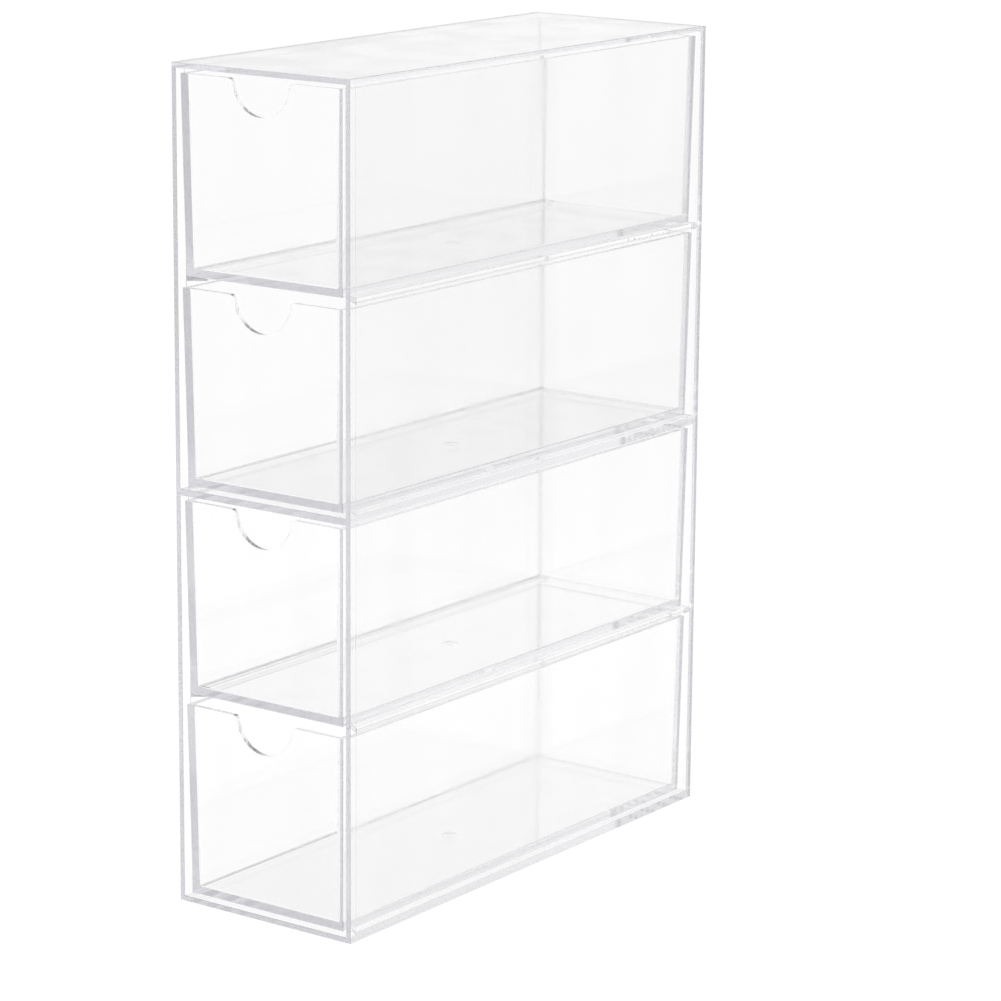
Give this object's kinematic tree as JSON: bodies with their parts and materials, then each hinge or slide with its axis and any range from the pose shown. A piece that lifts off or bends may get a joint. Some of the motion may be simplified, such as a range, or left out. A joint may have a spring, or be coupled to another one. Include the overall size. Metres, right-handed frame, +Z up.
{
  "type": "makeup organizer drawers",
  "caption": "Narrow clear acrylic desktop tower with stacked pull-out trays, each with a half-round finger notch, for make-up or jewellery.",
  "frame": {"origin": "middle of the base, on the surface that the tower stands on", "axes": "+Z up, the drawers open towards -Y, X across the narrow width"},
  "size_m": [0.0636, 0.175, 0.246],
  "materials": {
    "casing_acrylic": "polished, clear",
    "drawer_acrylic": "moulded, clear and glossy"
  },
  "bodies": {
    "casing": {"casing_base": "casing_acrylic", "middle_shelf": "casing_acrylic", "casing_top": "casing_acrylic", "left_side": "casing_acrylic", "right_side": "casing_acrylic", "back_panel": "casing_acrylic", "bottom_drawer_left_runner": "casing_acrylic", "bottom_drawer_right_runner": "casing_acrylic", "third_drawer_left_runner": "casing_acrylic", "third_drawer_right_runner": "casing_acrylic", "second_drawer_left_runner": "casing_acrylic", "second_drawer_right_runner": "casing_acrylic", "top_drawer_left_runner": "casing_acrylic", "top_drawer_right_runner": "casing_acrylic"},
    "bottom_drawer": {"bottom_drawer": "drawer_acrylic"},
    "third_drawer": {"third_drawer": "drawer_acrylic"},
    "second_drawer": {"second_drawer": "drawer_acrylic"},
    "top_drawer": {"top_drawer": "drawer_acrylic"}
  },
  "joints": [
    {"name": "bottom_drawer_slide", "type": "slide", "parent": "casing", "child": "bottom_drawer", "axis": [0, -1, 0], "range_m": [0, 0.15]},
    {"name": "third_drawer_slide", "type": "slide", "parent": "casing", "child": "third_drawer", "axis": [0, -1, 0], "range_m": [0, 0.15]},
    {"name": "second_drawer_slide", "type": "slide", "parent": "casing", "child": "second_drawer", "axis": [0, -1, 0], "range_m": [0, 0.15]},
    {"name": "top_drawer_slide", "type": "slide", "parent": "casing", "child": "top_drawer", "axis": [0, -1, 0], "range_m": [0, 0.15]}
  ]
}
